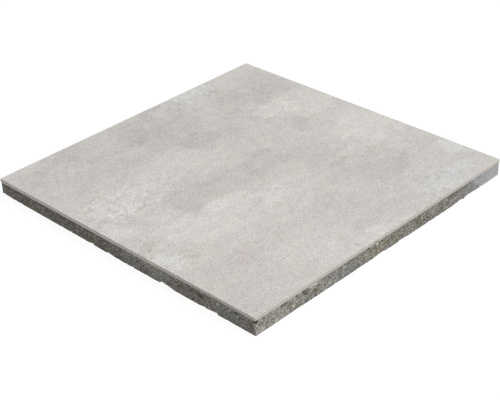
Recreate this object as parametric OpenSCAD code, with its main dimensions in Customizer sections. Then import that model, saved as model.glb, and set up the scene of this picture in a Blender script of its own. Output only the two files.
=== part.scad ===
// Square paving slab: a ceramic tile bonded to a cast concrete base.
// Millimetres, +Z up. The origin is the middle of the underside.
// The near corner is at -X -Y. It is the corner with the void under the tile.

/* [Ceramic tile] */
// Side of the square tile
tile_side = 597; // [300:1:900]
// Thickness of the tile
tile_t = 6.5; // [6:0.5:20]
// Bevel along the tile's upper edges
tile_bevel = 0.4; // [0.3:0.1:2]
// Radius of the tile's upright corners
tile_corner_r = 1; // [0.5:0.1:5]

/* [Concrete base] */
// Thickness of the concrete under the tile
base_t = 25.5; // [15:0.5:60]
// How far the base's sides lie inside the tile's edges
base_setback = 0.5; // [0:0.1:4]
// Radius of the base's upright corners
base_corner_r = 1; // [0.5:0.5:12]

/* [Chipped lower edge] */
// Slope of a chip's broken face, up from the underside
chip_slope = 30; // [20:5:60]
// Distance from one small nick to the next
nick_pitch = 24; // [12:1:80]
// Length of the longest nick
nick_len = 8; // [3:0.5:12]
// Height of the highest nick
nick_rise = 1.2; // [0.5:0.1:3]

/* [Air holes] */
// Radius of the widest air holes in the base's sides
hole_r = 1.8; // [0.8:0.1:3]
// How far an air hole's middle lies inside the side, as a share of its radius
hole_sink = 0.3; // [0.1:0.1:0.6]
// Radius of the void under the tile's near corner
void_r = 3.3; // [1:0.1:4]
// Depth of that void's middle below the tile's face
void_depth = 8.4; // [5:0.1:10]

/* [Hidden] */

slab_t = base_t + tile_t;
base_side = tile_side - 2 * base_setback;
corner_steps = 5;
first_seed = 11;
$fn = 48;

// Chips on each side of the base, anticlockwise from the near corner.
// Each is its place as a share of the side, its length and its height.
// A negative length turns the chip's outline round.
chips = [
    [
        [0.12, -60, 0.7], [0.375, -46, 0.6], [0.457, -40, 1.9], [0.567, 34, 1.6], [0.61, 14, 0.7],
        [0.8, -36, 2], [0.92, 110, 2.5], [0.935, 40, 2.4], [0.93, -120, 2.5]
    ],
    [[0.08, 16, 2.2], [0.31, -30, 2.6], [0.62, 10, 1.4], [0.76, -22, 1.8]],
    [[0.17, 24, 1.5], [0.38, -9, 2.4], [0.52, 36, 2.2], [0.86, -14, 1.7]],
    [
        [0.045, 66, 5], [0.267, 442, 3.4], [0.258, -24, 2.9], [0.297, -22, 2.9], [0.387, -22, 3.5],
        [0.476, 26, 2.4], [0.508, 9, 1.3], [0.562, 10, 1.5], [0.693, 40, 3.8], [0.818, -16, 1.7],
        [0.85, -30, 2.4], [0.91, 9, 1]
    ]
];

// Air holes in each side of the base, in the same order.
// Each is its place as a share of the side, its height as a share of the base's, and its share of hole_r.
air_holes = [
    [
        [0.11, 0.86, 0.9], [0.13, 0.77, 0.6], [0.17, 0.86, 1], [0.19, 0.8, 0.7],
        [0.42, 0.85, 0.8], [0.46, 0.8, 0.9], [0.65, 0.3, 1], [0.78, 0.7, 0.6]
    ],
    [[0.14, 0.6, 0.8], [0.35, 0.82, 1], [0.37, 0.74, 0.6], [0.68, 0.45, 0.7], [0.88, 0.8, 0.9]],
    [[0.09, 0.7, 0.7], [0.28, 0.5, 0.9], [0.47, 0.84, 1], [0.74, 0.76, 0.8], [0.77, 0.83, 0.6]],
    [
        [0.2, 0.55, 0.7], [0.44, 0.7, 0.8], [0.58, 0.78, 0.7], [0.8, 0.74, 0.9],
        [0.83, 0.62, 0.7], [0.92, 0.7, 0.8], [0.95, 0.55, 0.6]
    ]
];

// One chip's outline, across its length and up from the edge: steep at one end and running out at the other.
function chip_outline(length, depth) = [
    [-length / 2, -depth], [-0.44 * length, 0.5 * depth], [-0.36 * length, depth],
    [-0.2 * length, 0.72 * depth], [0.1 * length, 0.5 * depth], [length / 2, -0.2 * depth]
];

// Outline of a square with round corners, as arcs from corner to corner.
module rounded_square(side, r) {
    middle = side / 2 - r;
    polygon([
        for (k = [0:3], step = [0:corner_steps])
            let (corner = 45 + 90 * k, angle = 90 * (k + step / corner_steps))
            middle * sqrt(2) * [cos(corner), sin(corner)] + r * [cos(angle), sin(angle)]
    ]);
}

// Puts children on side k of the base: +X runs along the side from its corner, -Y points out of it,
// and Z = 0 is the underside.
module on_side(k) {
    rotate([0, 0, 90 * k]) translate([-base_side / 2, -base_side / 2, 0]) children();
}

// A chip broken out of the lower edge, rising to the given height on the side's face.
// Its outline runs along the broken face, far enough to leave the slab at both ends.
module chip(length, rise) {
    depth = rise * cos(chip_slope);
    run = 8 * rise;
    rotate([90 - chip_slope, 0, 0])
        linear_extrude(run, center = true) polygon(chip_outline(length, depth));
}

// Small nicks all along a side, of uneven length, height and spacing.
module nicks(seed) {
    count = floor(base_side / nick_pitch);
    size = rands(0.45, 1, count, seed);
    shift = rands(-0.35, 0.35, count, seed + 1);
    for (i = [0:count - 1])
        translate([(i + 0.5 + shift[i]) * nick_pitch, 0, 0])
            chip(nick_len * size[i], nick_rise * size[count - 1 - i]);
}

// An air hole in a side of the base, at a share of the side's length and height.
module air_hole(along, up, size) {
    r = hole_r * size;
    translate([along * base_side, hole_sink * r, up * base_t]) rotate([90, 0, 0]) sphere(r);
}

// The void under the tile's near corner, which takes a piece off the tile too.
// It lies further from the corner along the right-hand side than along the left-hand one.
module corner_void() {
    translate([-tile_side / 2, -tile_side / 2, slab_t - void_depth] + void_r * [0.95, 0.4, 0])
        sphere(void_r);
}

module ceramic_tile() {
    color("#cac7c2") difference() {
        translate([0, 0, base_t]) linear_extrude(tile_t) rounded_square(tile_side, tile_corner_r);
        for (k = [0:3])
            rotate([0, 0, 90 * k]) translate([0, -tile_side / 2, slab_t]) rotate([45, 0, 0])
                cube([2 * tile_side, sqrt(2) * tile_bevel, sqrt(2) * tile_bevel], center = true);
        corner_void();
    }
}

module concrete_base() {
    color("#75736d") difference() {
        linear_extrude(base_t) rounded_square(base_side, base_corner_r);
        for (k = [0:3]) on_side(k) {
            for (c = chips[k]) translate([c[0] * base_side, 0, 0]) chip(c[1], c[2]);
            for (h = air_holes[k]) air_hole(h[0], h[1], h[2]);
            nicks(first_seed + 2 * k);
        }
        corner_void();
    }
}

ceramic_tile();
concrete_base();
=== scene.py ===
"""The looks of a ceramic-faced concrete paving slab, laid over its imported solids."""

import math

import bpy
import numpy as np
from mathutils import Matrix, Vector
from mathutils.bvhtree import BVHTree


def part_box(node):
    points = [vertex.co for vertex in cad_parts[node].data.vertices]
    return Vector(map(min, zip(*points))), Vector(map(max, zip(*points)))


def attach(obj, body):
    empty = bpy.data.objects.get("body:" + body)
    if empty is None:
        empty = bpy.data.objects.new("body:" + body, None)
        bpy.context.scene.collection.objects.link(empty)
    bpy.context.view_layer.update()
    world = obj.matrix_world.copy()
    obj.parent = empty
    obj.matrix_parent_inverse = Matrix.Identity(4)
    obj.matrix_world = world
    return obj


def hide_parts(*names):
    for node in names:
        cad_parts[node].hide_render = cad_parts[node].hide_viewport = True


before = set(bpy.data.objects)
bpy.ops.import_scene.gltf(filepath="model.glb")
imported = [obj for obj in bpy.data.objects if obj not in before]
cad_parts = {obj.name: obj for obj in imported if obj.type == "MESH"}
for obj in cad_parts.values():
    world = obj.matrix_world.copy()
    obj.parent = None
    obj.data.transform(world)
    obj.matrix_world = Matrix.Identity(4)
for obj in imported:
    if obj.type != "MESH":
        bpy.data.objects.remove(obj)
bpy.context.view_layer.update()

MM = 0.001
TILE_LOW, TILE_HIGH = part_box("ceramic_tile")
JOINT = TILE_LOW.z
FACE = TILE_HIGH.z
HALF = TILE_HIGH.x

# Skins: rings of points walked round each solid, then a coarser grid inside the rings.
STEPS_A_SIDE = 560
COARSER = 4
WALK_CORNER = 24 * MM
STAND_OFF = 6 * MM
REACH_IN = 16 * MM
REACH_ACROSS = 64 * MM
FIRST_GRID_RING = 18 * MM
SECOND_GRID_RING = 34 * MM

# Floor and light: how the camera sees the floor, the grey that it bounces, and the lights' strengths.
FLOOR_SIZE = 12.0
FLOOR_LIFT = 0.05 * MM
FLOOR_SHADE = 0.15
FLOOR_GLOW = 0.885
FLOOR_BOUNCE = 0.45
SKY_LIGHT = 0.58
LAMP_LIGHT = 1.75
LAMP_SPREAD = math.radians(50)
LAMP_WAY = Vector((-0.14, 0.36, -0.40))

# Camera, read from the photo's perspective.
PHOTO_WIDTH = 500
FOCAL_PIXELS = 1248
SENSOR = 36
CAMERA_FROM_NEAR_CORNER = Vector((-0.9912, -0.9984, 1.0433))
LOOK_AZIMUTH = math.radians(45.217)
LOOK_DOWN = math.radians(31.131)
CAMERA_ROLL = math.radians(-2.332)


def paint(red, green, blue):
    """A colour written in 0 to 255 as on a paint chart, in the renderer's linear scale."""
    def linear(level):
        share = level / 255
        return share / 12.92 if share <= 0.04045 else ((share + 0.055) / 1.055) ** 2.4
    return (linear(red), linear(green), linear(blue), 1.0)


# Skins over the solids


def square_walk(half, corner, steps):
    """Points round a square with round corners, and the way out at each.
    They run anticlockwise from the near corner."""
    points, outward = [], []
    for side in range(4):
        turn = math.radians(90 * side)
        spin = np.array(((math.cos(turn), -math.sin(turn)), (math.sin(turn), math.cos(turn))))
        for i in range(steps):
            along = -half + 2 * half * i / steps
            from_start = (along + half) / corner
            from_end = (along - half) / corner + 1
            if from_start < 1:
                centre, angle = (corner - half, corner - half), math.radians(-135 + 45 * from_start)
            elif from_end > 0:
                centre, angle = (half - corner, corner - half), math.radians(-90 + 45 * from_end)
            else:
                centre, angle = (along, corner - half), math.radians(-90)
            out = np.array((math.cos(angle), math.sin(angle)))
            points.append(spin @ (np.array(centre) + corner * out))
            outward.append(spin @ out)
    return np.array(points), np.array(outward)


def struck(solid, start, way, reach):
    """Where a ray first meets the solid, or None."""
    return solid.ray_cast(Vector(start), Vector(way), reach)[0]


def outline_of(solid, walk, outward, levels):
    """The solid's outermost outline over a few levels, so that an air hole leaves no dent in it."""
    outline = walk.copy()
    for i, (point, out) in enumerate(zip(walk, outward)):
        start = point + REACH_IN * out
        hits = [struck(solid, (*start, z), (*-out, 0), REACH_ACROSS) for z in levels]
        outline[i] = max((hit.xy for hit in hits if hit), key=lambda p: p.x * out[0] + p.y * out[1])
    return outline


def fan(inset, height, pivot):
    """The tilt of a ray that enters a sharp edge's profile and aims at a pivot behind the edge."""
    return math.degrees(math.atan2(pivot - height, pivot - inset))


def skin(name, node, rows, levels):
    """A closed mesh laid on a CAD node's surface. Each row is (inset, height, tilt, roughness):
    where its ring starts on the plain slab, how its rays tilt up as they go in, how rough the surface is.
    The pit attribute keeps how far each point lies inside the plain slab."""
    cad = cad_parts[node].data
    solid = BVHTree.FromPolygons([v.co for v in cad.vertices], [p.vertices for p in cad.polygons])
    half = max(abs(v) for v in (*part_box(node)[0].xy, *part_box(node)[1].xy)) + STAND_OFF
    walk, outward = square_walk(half, WALK_CORNER, STEPS_A_SIDE)
    outline = outline_of(solid, walk, outward, levels)
    around = len(outline)

    points, rough, pit = [], [], []
    for inset, height, tilt, roughness in rows:
        ring = outline * (1 - inset / HALF)
        level, rise = math.cos(math.radians(tilt)), math.sin(math.radians(tilt))
        for (x, y), (out_x, out_y) in zip(ring, outward):
            plain = np.array((x, y, height))
            way = np.array((-out_x * level, -out_y * level, rise))
            hit = struck(solid, plain - STAND_OFF / 2 * way, way, REACH_IN)
            spot = np.array(hit) if hit else plain
            points.append(tuple(spot))
            rough.append(roughness)
            pit.append(max(0.0, float((spot - plain) @ way)))

    faces = []
    for row in range(len(rows) - 1):
        upper, lower = row * around, (row + 1) * around
        for i in range(around):
            after = (i + 1) % around
            faces.append((lower + i, lower + after, upper + after, upper + i))
    close_face(points, faces, outline, 0, rows[0][1], False)
    close_face(points, faces, outline, (len(rows) - 1) * around, rows[-1][1], True)

    mesh = bpy.data.meshes.new(name)
    mesh.from_pydata(points, [], faces)
    for attribute, values in (("rough", rough), ("pit", pit)):
        values += [0.0] * (len(points) - len(values))
        mesh.attributes.new(attribute, "FLOAT", "POINT").data.foreach_set("value", values)
    mesh.shade_smooth()
    piece = bpy.data.objects.new(name, mesh)
    bpy.context.scene.collection.objects.link(piece)
    return piece


def close_face(points, faces, outline, first, height, downward):
    """Closes the top or the underside inside a ring: two coarser rings, then a plain grid."""
    def face(*corners):
        faces.append(corners[::-1] if downward else corners)

    ring = list(range(first, first + len(outline)))
    picked = np.arange(len(outline))
    for inset in (FIRST_GRID_RING, SECOND_GRID_RING):
        picked = picked[::COARSER]
        inner = list(range(len(points), len(points) + len(picked)))
        points.extend((*(outline[i] * (1 - inset / HALF)), height) for i in picked)
        for k in range(len(inner)):
            a, b = inner[k], inner[(k + 1) % len(inner)]
            fine = [ring[(k * COARSER + j) % len(ring)] for j in range(COARSER + 1)]
            middle = COARSER // 2
            for j in range(COARSER):
                face(fine[j], fine[j + 1], a if j < middle else b)
            face(fine[middle], b, a)
        ring = inner

    side = len(ring) // 4
    corners = [np.array(points[ring[k * side]]) for k in range(4)]
    grid = {}
    for k in range(side):
        grid[k, 0] = ring[k]
        grid[side, k] = ring[side + k]
        grid[side - k, side] = ring[2 * side + k]
        grid[0, side - k] = ring[3 * side + k]
    for i in range(1, side):
        for j in range(1, side):
            u, v = i / side, j / side
            near = (1 - u) * corners[0] + u * corners[1]
            far = (1 - u) * corners[3] + u * corners[2]
            grid[i, j] = len(points)
            points.append(tuple((1 - v) * near + v * far))
    for i in range(side):
        for j in range(side):
            face(grid[i, j], grid[i + 1, j], grid[i + 1, j + 1], grid[i, j + 1])


# Node helpers


def put(tree, kind, inputs=None, **settings):
    """Adds a node, with its settings and its inputs: a socket is joined and a value is set."""
    node = tree.nodes.new(kind)
    for name, value in settings.items():
        setattr(node, name, value)
    for name, value in (inputs or {}).items():
        if isinstance(value, bpy.types.NodeSocket):
            tree.links.new(value, node.inputs[name])
        else:
            node.inputs[name].default_value = value
    return node


def maths(tree, operation, a, b=0.0, c=0.0):
    return put(tree, "ShaderNodeMath", {0: a, 1: b, 2: c}, operation=operation).outputs[0]


def plus(tree, value, factor, base):
    """The base with the value added to it, factor times."""
    return maths(tree, "MULTIPLY_ADD", value, factor, base)


def centred(tree, value):
    """A value from 0 to 1 brought to both sides of zero."""
    return maths(tree, "SUBTRACT", value, 0.5)


def vector_maths(tree, operation, a, b=(0.0, 0.0, 0.0)):
    return put(tree, "ShaderNodeVectorMath", {0: a, 1: b}, operation=operation).outputs["Vector"]


def scaled(tree, vector, factor):
    node = put(tree, "ShaderNodeVectorMath", {0: vector, "Scale": factor}, operation="SCALE")
    return node.outputs["Vector"]


def ramp(tree, value, low, high, first=0.0, last=1.0):
    """A soft step from first to last as the value goes from low to high."""
    return put(tree, "ShaderNodeMapRange", {"Value": value, "From Min": low, "From Max": high,
               "To Min": first, "To Max": last}, interpolation_type="SMOOTHSTEP").outputs[0]


def noise(tree, place, size, detail=2.0, roughness=0.5):
    """Cloudy noise from 0 to 1, with features of about the given size in metres."""
    return put(tree, "ShaderNodeTexNoise", {"Vector": place, "Scale": 1 / size, "Detail": detail,
               "Roughness": roughness}).outputs[0]


def mixed(tree, share, under, over):
    """One colour over another, by share."""
    return put(tree, "ShaderNodeMix", {0: share, 6: under, 7: over}, data_type="RGBA").outputs[2]


def height_of(tree, place):
    return put(tree, "ShaderNodeSeparateXYZ", {0: place}).outputs["Z"]


def new_group(name, kind, inputs, outputs):
    """An empty node group with named sockets. Returns the group, its inputs and its outputs node."""
    group = bpy.data.node_groups.new(name, kind)
    for direction, sockets in (("INPUT", inputs), ("OUTPUT", outputs)):
        for socket, what in sockets:
            group.interface.new_socket(socket, in_out=direction, socket_type="NodeSocket" + what)
    return group, group.nodes.new("NodeGroupInput").outputs, group.nodes.new("NodeGroupOutput")


def use(tree, group, inputs):
    """Places a shader node group and returns its outputs."""
    return put(tree, "ShaderNodeGroup", inputs, node_tree=group).outputs


# Relief


def make_cast_relief():
    """Grains, pores and swells sunk into a skin along its normals, by its rough attribute.
    What they sink is added to the pit attribute, and nothing rises past the top."""
    tree, sizes, result = new_group(
        "cast_relief", "GeometryNodeTree",
        [("Skin", "Geometry"), ("Grain Size", "Float"), ("Grain Depth", "Float"),
         ("Pore Size", "Float"), ("Pore Start", "Float"), ("Pore Depth", "Float"),
         ("Swell Size", "Float"), ("Swell Depth", "Float"),
         ("Seed", "Float"), ("Top", "Float"), ("Finish", "Material")],
        [("Skin", "Geometry")])
    place = put(tree, "GeometryNodeInputPosition").outputs[0]
    shift = put(tree, "ShaderNodeCombineXYZ", {"Z": sizes["Seed"]}).outputs[0]
    place = vector_maths(tree, "ADD", place, shift)

    def kept(attribute):
        node = put(tree, "GeometryNodeInputNamedAttribute", {"Name": attribute}, data_type="FLOAT")
        return node.outputs["Attribute"]

    def cloudy(size, detail):
        scale = maths(tree, "DIVIDE", 1.0, sizes[size])
        inputs = {"Vector": place, "Scale": scale, "Detail": detail}
        return put(tree, "ShaderNodeTexNoise", inputs).outputs[0]

    grain_scale = maths(tree, "DIVIDE", 1.0, sizes["Grain Size"])
    cells = put(tree, "ShaderNodeTexVoronoi", {"Vector": place, "Scale": grain_scale}, feature="SMOOTH_F1")
    grain = ramp(tree, cells.outputs["Distance"], 0.15, 0.75)
    pore_full = maths(tree, "ADD", sizes["Pore Start"], 0.1)
    pore = ramp(tree, cloudy("Pore Size", 1.0), sizes["Pore Start"], pore_full)
    swell = cloudy("Swell Size", 3.0)

    depth = maths(tree, "MULTIPLY", grain, sizes["Grain Depth"])
    depth = plus(tree, pore, sizes["Pore Depth"], depth)
    depth = plus(tree, swell, sizes["Swell Depth"], depth)
    depth = maths(tree, "MULTIPLY", depth, kept("rough"))
    inward = maths(tree, "MULTIPLY", depth, -1.0)
    offset = scaled(tree, put(tree, "GeometryNodeInputNormal").outputs[0], inward)

    noted = put(tree, "GeometryNodeStoreNamedAttribute", {
        "Geometry": sizes["Skin"], "Name": "pit", "Value": maths(tree, "ADD", kept("pit"), depth)},
        data_type="FLOAT", domain="POINT")
    sunk = put(tree, "GeometryNodeSetPosition", {"Geometry": noted.outputs[0], "Offset": offset})
    beyond = 1.0
    limit = put(tree, "ShaderNodeCombineXYZ", {"X": beyond, "Y": beyond, "Z": sizes["Top"]}).outputs[0]
    lowered = vector_maths(tree, "MINIMUM", put(tree, "GeometryNodeInputPosition").outputs[0], limit)
    sunk = put(tree, "GeometryNodeSetPosition", {"Geometry": sunk.outputs[0], "Position": lowered})
    real = put(tree, "GeometryNodeRealizeInstances", {"Geometry": sunk.outputs[0]})
    done = put(tree, "GeometryNodeSetMaterial", {"Geometry": real.outputs[0], "Material": sizes["Finish"]})
    tree.links.new(done.outputs[0], result.inputs["Skin"])
    return tree


def carve(piece, relief, values):
    """Runs the relief on a piece and keeps the result as its plain mesh."""
    modifier = piece.modifiers.new("relief", "NODES")
    modifier.node_group = relief
    for socket in relief.interface.items_tree:
        if socket.in_out == "INPUT" and socket.name in values:
            modifier[socket.identifier] = values[socket.name]
    evaluated = piece.evaluated_get(bpy.context.evaluated_depsgraph_get())
    mesh = bpy.data.meshes.new_from_object(evaluated)
    piece.modifiers.remove(modifier)
    mesh.name = piece.name
    piece.data = mesh


# Shared effects


def make_patch():
    """A patch round a middle, reaching so far along each axis, with an edge that a ragged value frays.
    Edge is how soft that edge is, as a share of the reach."""
    tree, given, result = new_group(
        "patch", "ShaderNodeTree",
        [("Place", "Vector"), ("Middle", "Vector"), ("Reach", "Vector"),
         ("Ragged", "Float"), ("Edge", "Float")],
        [("Share", "Float")])
    away = vector_maths(tree, "SUBTRACT", given["Place"], given["Middle"])
    away = vector_maths(tree, "DIVIDE", away, given["Reach"])
    distance = put(tree, "ShaderNodeVectorMath", {0: away}, operation="LENGTH").outputs["Value"]
    frayed = maths(tree, "ADD", distance, given["Ragged"])
    outer = maths(tree, "ADD", 1.0, given["Edge"])
    inner = maths(tree, "SUBTRACT", 1.0, given["Edge"])
    tree.links.new(ramp(tree, frayed, outer, inner), result.inputs["Share"])
    return tree


def make_sand_speckle():
    """Sand: fine grains, pale stones and dark holes among them."""
    tree, given, result = new_group(
        "sand_speckle", "ShaderNodeTree", [("Place", "Vector"), ("Grains A Metre", "Float")],
        [("Shade", "Float"), ("Pale Stone", "Float"), ("Dark Hole", "Float"), ("Height", "Float")])
    fine = put(tree, "ShaderNodeTexNoise", {"Vector": given["Place"], "Scale": given["Grains A Metre"],
               "Detail": 1.0, "Roughness": 0.5}).outputs[0]
    stones = put(tree, "ShaderNodeTexVoronoi", {
        "Vector": given["Place"], "Scale": maths(tree, "MULTIPLY", given["Grains A Metre"], 0.7)})
    chance = put(tree, "ShaderNodeSeparateColor", {0: stones.outputs["Color"]}).outputs[0]
    core = ramp(tree, stones.outputs["Distance"], 0.6, 0.3)
    pale = maths(tree, "MULTIPLY", core, ramp(tree, chance, 0.74, 0.9))
    dark = maths(tree, "MULTIPLY", core, ramp(tree, chance, 0.26, 0.1))
    tree.links.new(fine, result.inputs["Shade"])
    tree.links.new(pale, result.inputs["Pale Stone"])
    tree.links.new(dark, result.inputs["Dark Hole"])
    tree.links.new(maths(tree, "SUBTRACT", fine, dark), result.inputs["Height"])
    return tree


def make_joint_smear():
    """Slurry smeared up and down from the joint between tile and concrete, in an uneven band."""
    tree, given, result = new_group(
        "joint_smear", "ShaderNodeTree", [("Place", "Vector"), ("Joint", "Float"), ("Reach", "Float")],
        [("Cover", "Float")])
    above = maths(tree, "SUBTRACT", height_of(tree, given["Place"]), given["Joint"])
    away = maths(tree, "ABSOLUTE", above)
    level = vector_maths(tree, "MULTIPLY", given["Place"], (1.0, 1.0, 0.3))
    broad = noise(tree, level, 50 * MM, 3.0, 0.65)
    ragged = noise(tree, given["Place"], 4 * MM, 2.0)
    edge = plus(tree, centred(tree, ragged), 0.5, broad)
    band = maths(tree, "MULTIPLY", given["Reach"], ramp(tree, edge, 0.35, 0.75))
    inside = maths(tree, "SUBTRACT", band, away)
    tree.links.new(ramp(tree, inside, -0.3 * MM, 0.3 * MM), result.inputs["Cover"])
    return tree


PATCH = make_patch()
SAND_SPECKLE = make_sand_speckle()
JOINT_SMEAR = make_joint_smear()


# Finishes

# How soft the edge of each cloud, stain and patch of painted shade is, as a share of its reach. A broken
# one is torn into flecks too.
SOFT = 0.28
CLEAN = 0.12
BROKEN = 0.1

# Clouds on the tile's face: X and Y of the middle, X and Y of the reach in millimetres,
# steps of shade, pink and blue, and the edge.
CLOUDS = [
    # The first three make the far part of the face darker.
    (-160, 228, 220, 84, -6.0, 0.0, 0.0, SOFT),
    (50, 190, 125, 96, -5.5, 0.0, 0.0, SOFT),
    (225, 205, 95, 56, -6.5, 0.0, 0.0, CLEAN),
    (-172, 268, 40, 20, -4.0, 0.0, 0.0, SOFT),
    (-62, 232, 34, 22, -3.0, 0.0, 0.0, SOFT),
    (-130, 170, 30, 18, -5.5, 0.0, 0.0, SOFT),
    (42, 132, 58, 26, -7.0, 0.3, 0.0, SOFT),
    (226, 184, 26, 17, -4.0, 0.0, 0.0, BROKEN),
    (-186, 218, 30, 8, 6.0, 0.0, 0.0, BROKEN),
    (-75, 190, 42, 14, 0.0, 1.0, 0.2, SOFT),
    (116, 193, 40, 22, 5.0, 1.5, -0.4, SOFT),
    (125, 284, 72, 20, 9.0, -0.2, 1.4, BROKEN),
    (-60, 105, 90, 30, 3.0, 0.0, 0.0, BROKEN),
    (-196, 80, 70, 38, 8.0, 0.7, 1.3, BROKEN),
    (-192, 103, 28, 12, 7.0, 0.3, 0.6, BROKEN),
    (-216, 62, 24, 12, 8.0, 0.2, 0.8, BROKEN),
    (-250, 48, 10, 18, 9.0, -0.3, 1.2, BROKEN),
    (-275, 80, 26, 20, 4.0, 0.4, 0.6, SOFT),
    (-280, 18, 24, 26, 6.0, 0.0, 0.0, SOFT),
    (-237, 10, 11, 14, -6.0, 0.8, 0.0, SOFT),
    (-234, -24, 44, 48, 4.5, 0.1, 0.2, SOFT),
    (-128, 14, 46, 38, -8.0, 0.0, 0.0, SOFT),
    (-138, -12, 30, 20, -6.0, 0.0, 0.0, SOFT),
    (-52, 10, 58, 36, -5.5, 0.0, 0.0, SOFT),
    (30, -4, 40, 46, -8.0, 1.0, 0.1, SOFT),
    (48, 66, 26, 44, -2.5, 1.0, 0.2, SOFT),
    (103, -34, 56, 30, -6.0, 1.4, 0.0, SOFT),
    (86, -75, 22, 18, -3.0, 1.2, -0.4, SOFT),
    (174, 46, 17, 32, -8.0, 0.0, 0.0, SOFT),
    (185, 124, 36, 27, 9.0, 0.0, 0.0, CLEAN),
    (256, 96, 60, 42, 6.0, 0.0, 0.0, SOFT),
    (250, -46, 60, 52, 11.0, 0.0, 0.0, SOFT),
    (136, -62, 36, 9, -6.0, 0.0, -0.2, BROKEN),
    (110, -110, 15, 24, -5.0, 0.0, 0.0, SOFT),
    (125, -120, 76, 24, -4.0, 0.0, 0.0, SOFT),
    (165, -86, 42, 15, 4.0, 0.0, 0.0, BROKEN),
    (186, -56, 16, 22, 0.0, 1.1, 0.2, SOFT),
    (250, -100, 36, 18, 3.0, 0.6, 0.9, SOFT),
    (160, -165, 60, 28, -8.0, 1.0, 0.9, SOFT),
    (150, -212, 130, 46, -0.5, 0.9, 1.0, SOFT),
    (182, -265, 64, 24, 8.5, 0.0, 3.0, BROKEN),
    (284, -215, 22, 26, 12.0, 0.1, 3.0, BROKEN),
    (28, -290, 70, 14, 6.0, 0.0, 0.6, SOFT),
    (-72, -288, 76, 22, 7.0, 0.1, 0.6, SOFT),
    (20, -182, 34, 38, -3.0, 0.0, 0.0, SOFT),
    (-150, -70, 125, 42, 7.5, 0.0, 0.0, CLEAN),
    (-15, -78, 66, 28, 3.5, 0.0, 0.1, CLEAN),
    (-205, -52, 44, 20, 3.5, 0.1, 0.2, BROKEN),
    (-122, -42, 34, 14, 4.0, 0.0, 0.0, CLEAN),
    (-110, -125, 150, 36, 3.0, 0.0, 0.0, SOFT),
    (-110, -225, 84, 34, 5.0, 0.0, 0.0, SOFT),
    (-284, -95, 28, 25, 12.0, 0.2, 1.7, BROKEN),
    (-268, -47, 15, 10, -8.0, 0.6, -0.8, SOFT),
    (-246, -110, 16, 12, -8.0, 0.2, -0.6, SOFT),
    (-240, -170, 38, 24, -2.0, 1.2, 0.0, SOFT),
    (-180, -182, 38, 20, -4.0, 1.5, 0.1, SOFT),
    (-30, -182, 36, 34, -1.0, 1.3, 0.1, SOFT),
    (-275, -255, 26, 30, -4.5, 0.3, 0.0, SOFT),
]

# Scuffs in the print, where it is broken up into flecks and fine cracks: middle, reach and steps of shade.
SCUFFS = [
    (-210, 70, 84, 50, 9.5),
    (-275, -70, 40, 70, 9.5),
    (-110, -40, 80, 14, 7.0),
    (150, -75, 60, 40, 9.0),
    (190, -265, 70, 30, 7.0),
    (-30, -285, 110, 18, 5.5),
    (100, 280, 90, 26, 10.0),
    (190, 185, 90, 60, 7.0),
    (-140, 250, 170, 60, 5.5),
    (20, 200, 60, 60, 4.5),
]

# The print's plain colour, and what one step of shade, pink or blue adds to it.
PRINT = paint(205, 201.5, 196)[:3]
LEVEL = 0.0103
PINK_LEVEL = (0.0058, -0.0045, -0.0013)
BLUE_LEVEL = (-0.0065, 0.0, 0.0065)

# The print's finer patterns, in steps of shade.
STREAKS = 24.0
MOTTLE = 25.0
SAND_SHADE = 100.0
DARK_GRAINS = -20.0
PALE_GRAINS = 18.0

# How far the edges of clouds, broken clouds, and patches of stain and painted shade are frayed, as a share
# of their reach.
CLOUD_FRAY = 2.8
FLECK_FRAY = -0.7
STAIN_AND_SHADE_FRAY = 2.2

# A crack is the middle of a cloudy noise: its shade beside the flecks, and how far it spreads to each side.
CRACK = -1.7
CRACK_WIDTH = 0.026


def new_finish(name):
    """A material with only its shader and output, and the place on the slab for its patterns."""
    material = bpy.data.materials.new(name)
    material.use_nodes = True
    tree = material.node_tree
    tree.nodes.clear()
    shader = put(tree, "ShaderNodeBsdfPrincipled")
    output = put(tree, "ShaderNodeOutputMaterial")
    tree.links.new(shader.outputs[0], output.inputs["Surface"])
    place = put(tree, "ShaderNodeTexCoord").outputs["Object"]
    return material, tree, shader, place


def in_metres(*millimetres):
    return [v * MM for v in millimetres]


def drift(tree, place, size, reach):
    """A shift that wanders from place to place, to bend a pattern."""
    wander = put(tree, "ShaderNodeTexNoise", {"Vector": place, "Scale": 1 / size, "Detail": 3.0})
    return scaled(tree, vector_maths(tree, "SUBTRACT", wander.outputs["Color"], (0.5, 0.5, 0.5)), reach)


def tinted(shade, pink, blue):
    """What a cloud adds to the print's colour."""
    return [LEVEL * shade * p + PINK_LEVEL[i] * pink + BLUE_LEVEL[i] * blue for i, p in enumerate(PRINT)]


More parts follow.
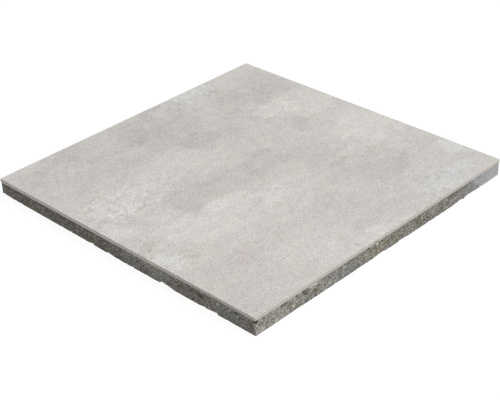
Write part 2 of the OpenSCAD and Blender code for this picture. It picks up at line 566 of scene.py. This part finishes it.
def cement_print(tree, place):
    """The tile's printed face: ragged clouds, cracked scuffs, streaks along X, mottle and a sandy speckle.
    Returns its colour and its height."""
    drifted = vector_maths(tree, "ADD", place, drift(tree, place, 50 * MM, 50 * MM))
    bent = vector_maths(tree, "ADD", place, drift(tree, place, 18 * MM, 14 * MM))
    flecks = centred(tree, ramp(tree, noise(tree, bent, 11 * MM, 4.0, 0.68), 0.36, 0.64))
    ragged = maths(tree, "MULTIPLY", centred(tree, noise(tree, place, 50 * MM, 6.0, 0.65)), CLOUD_FRAY)
    broken = plus(tree, flecks, FLECK_FRAY, ragged)

    def cloud(x, y, reach_x, reach_y, edge):
        return use(tree, PATCH, {
            "Place": drifted, "Middle": (x * MM, y * MM, FACE), "Reach": (reach_x * MM, reach_y * MM, 1.0),
            "Ragged": broken if edge == BROKEN else ragged, "Edge": edge})["Share"]

    colour = PRINT
    for x, y, reach_x, reach_y, shade, pink, blue, edge in CLOUDS:
        added = {0: cloud(x, y, reach_x, reach_y, edge), 1: tinted(shade, pink, blue), 2: colour}
        colour = put(tree, "ShaderNodeVectorMath", added, operation="MULTIPLY_ADD").outputs["Vector"]

    streaked = vector_maths(tree, "MULTIPLY", place, (0.4, 1.0, 1.0))
    shade = maths(tree, "MULTIPLY", centred(tree, noise(tree, streaked, 30 * MM, 5.0, 0.62)), STREAKS)
    shade = plus(tree, centred(tree, noise(tree, bent, 14 * MM, 4.0, 0.68)), MOTTLE, shade)
    vein = maths(tree, "ABSOLUTE", centred(tree, noise(tree, bent, 20 * MM, 3.0)))
    torn = plus(tree, ramp(tree, vein, CRACK_WIDTH, 0.0), CRACK, flecks)
    for x, y, reach_x, reach_y, strength in SCUFFS:
        scuffed = maths(tree, "MULTIPLY", cloud(x, y, reach_x, reach_y, SOFT), torn)
        shade = plus(tree, scuffed, strength, shade)
    speckle = use(tree, SAND_SPECKLE, {"Place": place, "Grains A Metre": 560.0})
    shade = plus(tree, centred(tree, speckle["Shade"]), SAND_SHADE, shade)
    shade = plus(tree, speckle["Dark Hole"], DARK_GRAINS, shade)
    shade = plus(tree, speckle["Pale Stone"], PALE_GRAINS, shade)
    return scaled(tree, colour, plus(tree, shade, LEVEL, 1.0)), speckle["Height"]


# Stains, stones, and painted shade in pits, in the gap under the tile and in the void at the near corner,
# on the slab's sides: X, Y and Z of the middle and of the reach in millimetres, colour, and how strong.
EDGE_STAINS_AND_VOID_SHADE = [
    ((-298, -195, 24), (8, 78, 3.6), (136, 132, 125), 0.9),
    ((-298, -262, 24), (8, 50, 3.2), (136, 132, 125), 0.9),
    ((-298, -82, 29), (8, 12, 8), (208, 202, 190), 0.5),
    ((-298, -68, 28), (4, 4, 6), (186, 176, 148), 0.5),
    ((-298, -95, 29), (4, 3, 4), (182, 168, 136), 0.5),
    ((-298, -208, 30), (8, 4, 5), (182, 164, 142), 0.5),
    ((-298, 282, 31), (8, 14, 4), (168, 152, 140), 0.5),
    ((-30, -298, 27), (4, 8, 2), (120, 108, 94), 0.7),
    ((262, -298, 29), (26, 8, 8), (196, 191, 172), 0.5),
    # Painted shade in the void at the near corner, where the tile meets the concrete.
    ((-295, -298, 24.6), (3.2, 3, 1.6), (16, 15, 13), 1.0),
]
CAST_STAINS = [
    ((-298, 240, 10), (4, 260, 60), (106, 101, 94), 0.85),
    ((-298, -170, 16), (4, 44, 14), (118, 110, 102), 0.6),
    ((-298, -292, 12), (4, 16, 10), (112, 101, 91), 0.6),
    ((-250, -298, 10), (80, 4, 60), (160, 156, 147), 0.75),
    ((-288, -298, 12), (14, 4, 30), (162, 161, 154), 0.6),
    ((-90, -298, 16), (46, 4, 16), (132, 132, 127), 0.7),
    ((-28, -298, 13), (44, 4, 10), (140, 132, 112), 0.6),
    ((25, -298, 17), (16, 4, 12), (136, 128, 106), 0.6),
    ((120, -298, 10), (110, 4, 60), (132, 129, 119), 0.6),
    ((188, -298, 23), (34, 4, 6), (112, 111, 105), 0.6),
]
CAST_SPOTS_AND_PAINTED_SHADE = [
    # The first row is painted shade in the gap just under the tile's edge; the small dark grey spots are
    # painted shade in pits, the brown ones stains and the pale ones stones.
    ((-298, 150, 22.8), (4, 170, 1.3), (62, 58, 54), 0.6),
    ((-298, 219, 8), (8, 7, 5), (126, 104, 84), 0.6),
    ((-298, 222, 20), (8, 4, 5), (84, 70, 60), 0.5),
    ((-298, 66, 14), (8, 6, 8), (112, 100, 74), 0.5),
    ((-298, -139, 23), (8, 3, 2.5), (56, 52, 48), 0.8),
    ((-298, -162, 24), (8, 4, 2), (52, 48, 44), 0.8),
    ((-298, -168, 18), (8, 5, 3), (66, 58, 50), 0.7),
    ((-298, -186, 17), (8, 8, 4), (72, 67, 61), 0.7),
    ((-298, -260, 21), (8, 4, 3), (58, 55, 51), 0.8),
    ((-298, -267, 16), (8, 2.5, 2), (40, 38, 36), 0.9),
    ((-298, -263, 17), (8, 1.8, 2), (206, 203, 195), 0.8),
    ((-298, -224, 20), (8, 3, 2.5), (196, 192, 184), 0.7),
    ((-298, -203, 5), (8, 3, 2.5), (190, 186, 178), 0.7),
    ((-298, -248, 22), (8, 2.5, 2), (190, 187, 180), 0.7),
    ((-242, -298, 22), (2.5, 8, 3), (66, 63, 58), 0.85),
    ((-236, -298, 21), (2.5, 8, 3), (70, 66, 60), 0.8),
    ((-191, -298, 20), (7, 8, 6), (98, 90, 78), 0.8),
    ((-190, -298, 3), (6, 8, 4), (96, 94, 92), 0.8),
    ((-175, -298, 21.8), (14, 8, 1.6), (208, 205, 199), 0.9),
    ((-168, -298, 12), (8, 8, 7), (124, 112, 92), 0.7),
    ((-170, -298, 12), (3, 8, 2), (74, 68, 58), 0.7),
    ((-170, -298, 2), (4, 8, 2), (84, 80, 74), 0.8),
    ((-218, -298, 9.5), (4, 8, 3), (200, 192, 164), 0.8),
    ((-254, -298, 3.5), (3, 8, 2.5), (204, 200, 190), 0.7),
    ((-138, -298, 8), (3, 8, 2), (192, 188, 178), 0.7),
    ((-103, -298, 18), (4, 8, 2), (190, 189, 184), 0.6),
    ((-50, -298, 24), (4, 8, 2), (60, 58, 55), 0.85),
    ((-26, -298, 22), (4, 8, 3), (214, 206, 184), 0.9),
    ((76, -298, 18), (9, 8, 7), (108, 98, 80), 0.75),
    ((85.5, -298, 18), (1.8, 8, 7), (192, 186, 174), 0.75),
    ((82, -298, 5), (4, 8, 2), (50, 47, 43), 0.85),
    ((93, -298, 9), (4, 8, 2), (70, 67, 62), 0.7),
    ((126, -298, 22.5), (3, 8, 2), (196, 194, 186), 0.7),
    ((171, -298, 10), (5, 8, 1.8), (190, 188, 180), 0.6),
    ((176, -298, 8), (4, 8, 1.8), (76, 74, 70), 0.6),
]
CAST_VEILS_AND_VOID_SHADE = [
    ((285, -298, 12), (84, 40, 60), (162, 163, 163), 0.5),
    ((302, -298, 12), (62, 40, 60), (190, 192, 196), 0.58),
    ((-298, 250, 26), (8, 230, 1.6), (188, 184, 178), 0.7),
    # Painted shade in the void at the near corner, where the tile meets the concrete.
    ((-295, -298, 24.6), (3.2, 3, 1.6), (16, 15, 13), 1.0),
]


def stained_and_shaded(tree, place, colour, stains_and_shade, fraying):
    """A colour with stain marks and painted shade laid over it, frayed in steps of about the given size."""
    ragged = maths(tree, "MULTIPLY", centred(tree, noise(tree, place, fraying, 4.0, 0.65)), STAIN_AND_SHADE_FRAY)
    for middle, reach, hue, strength in stains_and_shade:
        share = use(tree, PATCH, {
            "Place": place, "Middle": in_metres(*middle), "Reach": in_metres(*reach),
            "Ragged": ragged, "Edge": SOFT})["Share"]
        colour = mixed(tree, maths(tree, "MULTIPLY", share, strength), colour, paint(*hue))
    return colour


def painted_shade_in_pits(tree, colour, shallow, deep):
    """A colour that turns to a dark grey of painted shade and dirt where the pit attribute is deep."""
    pit = put(tree, "ShaderNodeAttribute", attribute_name="pit").outputs["Fac"]
    return mixed(tree, ramp(tree, pit, shallow, deep, 0.0, 0.85), colour, paint(38, 36, 33))


def make_ceramic_finish():
    """The printed face above, and the bare ceramic body with smears of slurry on the edges and painted
    shade in its deep pits.
    """
    material, tree, shader, place = new_finish("cement_look_ceramic")
    printed, sand = cement_print(tree, place)

    along = vector_maths(tree, "MULTIPLY", place, (1.0, 1.0, 0.15))
    uneven = ramp(tree, noise(tree, along, 6 * MM, 3.0), 0.3, 0.7)
    body = mixed(tree, uneven, paint(184, 179, 172), paint(196, 192, 185))
    low = ramp(tree, height_of(tree, place), FACE - 1 * MM, JOINT, 0.0, 0.6)
    body = mixed(tree, low, body, paint(205, 201, 195))
    grain = use(tree, SAND_SPECKLE, {"Place": place, "Grains A Metre": 600.0})
    body = mixed(tree, maths(tree, "MULTIPLY", grain["Dark Hole"], 0.35), body, paint(140, 135, 128))
    body = stained_and_shaded(tree, place, body, EDGE_STAINS_AND_VOID_SHADE, 6 * MM)
    slurry = use(tree, JOINT_SMEAR, {"Place": place, "Joint": JOINT, "Reach": 1.2 * MM})["Cover"]
    body = mixed(tree, maths(tree, "MULTIPLY", slurry, 0.6), body, paint(140, 136, 128))
    # Painted shade where the tile is pitted deep, as in the void at the near corner.
    body = painted_shade_in_pits(tree, body, 1.4 * MM, 3.2 * MM)

    on_face = ramp(tree, height_of(tree, place), FACE - 0.3 * MM, FACE - 0.08 * MM)
    tree.links.new(mixed(tree, on_face, body, printed), shader.inputs["Base Color"])
    tree.links.new(ramp(tree, sand, -0.4, 0.6, 0.62, 0.48), shader.inputs["Roughness"])
    bump = put(tree, "ShaderNodeBump", {"Height": sand, "Strength": 0.12, "Distance": 0.2 * MM})
    tree.links.new(bump.outputs[0], shader.inputs["Normal"])
    return material


def make_concrete_finish():
    """Cast concrete: grey paste, ochre clouds, sand, stones, stain marks, slurry under the tile, and
    painted shade in pits, in the void and along the lower edge.
    """
    material, tree, shader, place = new_finish("cast_concrete")
    shader.inputs["Roughness"].default_value = 0.9
    broad = noise(tree, place, 70 * MM, 3.0, 0.6)
    colour = mixed(tree, ramp(tree, broad, 0.3, 0.7), paint(128, 126, 120), paint(148, 146, 139))
    colour = stained_and_shaded(tree, place, colour, CAST_STAINS, 14 * MM)
    cloudy = noise(tree, place, 12 * MM, 4.0, 0.65)
    colour = mixed(tree, ramp(tree, cloudy, 0.5, 0.75, 0.0, 0.6), colour, paint(122, 113, 94))
    colour = stained_and_shaded(tree, place, colour, CAST_SPOTS_AND_PAINTED_SHADE, 3 * MM)
    sand = use(tree, SAND_SPECKLE, {"Place": place, "Grains A Metre": 520.0})
    sand_contrast, cloud_contrast = 2.9, -0.6
    shade = plus(tree, centred(tree, sand["Shade"]), sand_contrast, 1.0)
    colour = scaled(tree, colour, plus(tree, centred(tree, cloudy), cloud_contrast, shade))
    colour = mixed(tree, maths(tree, "MULTIPLY", sand["Pale Stone"], 0.8), colour, paint(200, 197, 188))
    # Dark specks: dark stones, and painted shade in pinholes.
    colour = mixed(tree, maths(tree, "MULTIPLY", sand["Dark Hole"], 0.8), colour, paint(52, 50, 46))
    colour = stained_and_shaded(tree, place, colour, CAST_VEILS_AND_VOID_SHADE, 14 * MM)
    smear = use(tree, JOINT_SMEAR, {"Place": place, "Joint": JOINT, "Reach": 3 * MM})["Cover"]
    colour = mixed(tree, maths(tree, "MULTIPLY", smear, 0.4), colour, paint(172, 169, 160))
    # A ragged band of painted shade along the lower edge, where the slab meets the floor.
    low_edge_shade = plus(tree, centred(tree, cloudy), 9 * MM, height_of(tree, place))
    colour = mixed(tree, ramp(tree, low_edge_shade, 3.2 * MM, 0.4 * MM, 0.0, 0.5), colour, paint(70, 67, 61))
    # Painted shade in the deep pores and pits of the concrete.
    colour = painted_shade_in_pits(tree, colour, 1.0 * MM, 2.6 * MM)
    tree.links.new(colour, shader.inputs["Base Color"])
    bump = put(tree, "ShaderNodeBump", {"Height": sand["Height"], "Strength": 0.7, "Distance": 0.6 * MM})
    tree.links.new(bump.outputs[0], shader.inputs["Normal"])
    return material


# Pieces


def base_rows():
    """Rings from under the tile, down the cast side, round the chipped lower edge, across the underside."""
    pivot = 9 * MM
    rows = [(inset * MM, JOINT, -90, 0.0) for inset in (12, 4, 1)]
    rows += [(0, JOINT - 0.2 * MM, 0, 0.5)]
    rows += [(0, JOINT - k * MM, 0, 1.0) for k in range(1, 17)]
    rows += [(0, h * MM, fan(0, h * MM, pivot), 1.0) for h in (8.5, 7.5, 6.5, 5.5, 4.5, 3.5, 2.5)]
    rows += [(0, h * MM, fan(0, h * MM, pivot), r) for h, r in ((1.6, 0.7), (0.8, 0.3), (0.2, 0.1))]
    rows += [(i * MM, 0, fan(i * MM, 0, pivot), 0.1) for i in (0.5, 1.3, 2.2, 3.2, 4.4, 5.8, 7.4)]
    rows += [(inset * MM, 0, 90, 0.0) for inset in (9, 13)]
    return rows


def tile_rows():
    """Rings from the printed face, over its bevelled arris, down the edge and in across the tile's back."""
    pivot = 3 * MM
    rows = [(inset * MM, FACE, -90, 0.0) for inset in (13, 7, 4, 3)]
    arris = ((2, 0.0), (1.2, 0.0), (0.7, 0.2), (0.3, 0.6), (0.05, 1.0))
    rows += [(i * MM, FACE, -fan(i * MM, 0, pivot), r) for i, r in arris]
    rows += [(0, FACE - d * MM, -fan(0, d * MM, pivot), 1.0) for d in (0.2, 0.5, 0.9, 1.5, 2.2)]
    rows += [(0, JOINT + d * MM, 0, 1.0) for d in (3.5, 2.7, 1.9, 1.1)]
    rows += [(0, JOINT + 0.2 * MM, 0, 0.6)]
    rows += [(inset * MM, JOINT, 90, 0.0) for inset in (0.5, 2, 6, 12)]
    return rows


relief = make_cast_relief()

tile = skin("tile", "ceramic_tile", tile_rows(), [JOINT + h * MM for h in (2, 4, 5)])
carve(tile, relief, {
    "Grain Size": 3 * MM, "Grain Depth": 0.05 * MM,
    "Pore Size": 5 * MM, "Pore Start": 0.7, "Pore Depth": 0.25 * MM,
    "Swell Size": 20 * MM, "Swell Depth": 0.1 * MM,
    "Seed": 3.0, "Top": FACE, "Finish": make_ceramic_finish()})
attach(tile, "root")
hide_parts("ceramic_tile")

base = skin("base", "concrete_base", base_rows(), [h * MM for h in (10, 14, 18, 22)])
carve(base, relief, {
    "Grain Size": 2.6 * MM, "Grain Depth": 0.4 * MM,
    "Pore Size": 3.4 * MM, "Pore Start": 0.62, "Pore Depth": 1.1 * MM,
    "Swell Size": 26 * MM, "Swell Depth": 0.5 * MM,
    "Seed": 8.0, "Top": JOINT, "Finish": make_concrete_finish()})
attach(base, "root")
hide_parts("concrete_base")


# Floor, light and camera


def lay_floor():
    """A pale floor. The camera sees it white with the slab's shadow, and it bounces a plain grey's light.
    It lies a hair above the underside, so that the two do not flicker where they meet."""
    turns = ((-1, -1), (1, -1), (1, 1), (-1, 1))
    corners = [(x * FLOOR_SIZE, y * FLOOR_SIZE, FLOOR_LIFT) for x, y in turns]
    mesh = bpy.data.meshes.new("floor")
    mesh.from_pydata(corners, [], [(0, 1, 2, 3)])
    floor = bpy.data.objects.new("floor", mesh)
    bpy.context.scene.collection.objects.link(floor)
    material = bpy.data.materials.new("pale_floor")
    material.use_nodes = True
    tree = material.node_tree
    tree.nodes.clear()
    rays = put(tree, "ShaderNodeLightPath").outputs
    mirrored = maths(tree, "MAXIMUM", rays["Is Glossy Ray"], rays["Is Transmission Ray"])
    seen = maths(tree, "MAXIMUM", rays["Is Camera Ray"], mirrored)

    def grey(level):
        return put(tree, "ShaderNodeBsdfDiffuse", {"Color": (level, level, level, 1)}).outputs[0]

    glow = put(tree, "ShaderNodeEmission", {"Color": (1, 1, 1, 1), "Strength": FLOOR_GLOW}).outputs[0]
    white = put(tree, "ShaderNodeAddShader", {0: grey(FLOOR_SHADE), 1: glow}).outputs[0]
    both = put(tree, "ShaderNodeMixShader", {0: seen, 1: grey(FLOOR_BOUNCE), 2: white}).outputs[0]
    put(tree, "ShaderNodeOutputMaterial", {"Surface": both})
    mesh.materials.append(material)


def light_studio():
    """Even light from all round, and one broad soft lamp high on the right."""
    world = bpy.data.worlds.new("studio")
    world.use_nodes = True
    tree = world.node_tree
    tree.nodes.clear()
    rays = put(tree, "ShaderNodeLightPath").outputs
    strength = ramp(tree, rays["Is Camera Ray"], 0.0, 1.0, SKY_LIGHT, 1.0)
    sky = put(tree, "ShaderNodeBackground", {"Color": (1, 1, 1, 1), "Strength": strength}).outputs[0]
    put(tree, "ShaderNodeOutputWorld", {"Surface": sky})
    bpy.context.scene.world = world

    lamp = bpy.data.lights.new("soft_lamp", "SUN")
    lamp.energy = LAMP_LIGHT
    lamp.angle = LAMP_SPREAD
    holder = bpy.data.objects.new("soft_lamp", lamp)
    holder.rotation_euler = LAMP_WAY.to_track_quat("-Z", "Y").to_euler()
    bpy.context.scene.collection.objects.link(holder)


def set_camera():
    """The photo's view: its place is given from the near corner of the tile's face."""
    camera = bpy.data.cameras.new("camera")
    camera.sensor_width = SENSOR
    camera.lens = FOCAL_PIXELS / PHOTO_WIDTH * SENSOR
    holder = bpy.data.objects.new("camera", camera)
    holder.location = Vector((-HALF, -HALF, FACE)) + CAMERA_FROM_NEAR_CORNER
    level = math.cos(LOOK_DOWN)
    look = Vector((level * math.cos(LOOK_AZIMUTH), level * math.sin(LOOK_AZIMUTH), -math.sin(LOOK_DOWN)))
    holder.rotation_euler = look.to_track_quat("-Z", "Y").to_euler()
    holder.rotation_euler.rotate_axis("Z", CAMERA_ROLL)
    bpy.context.scene.collection.objects.link(holder)
    bpy.context.scene.camera = holder


lay_floor()
light_studio()
set_camera()
bpy.context.scene.view_settings.view_transform = "Standard"
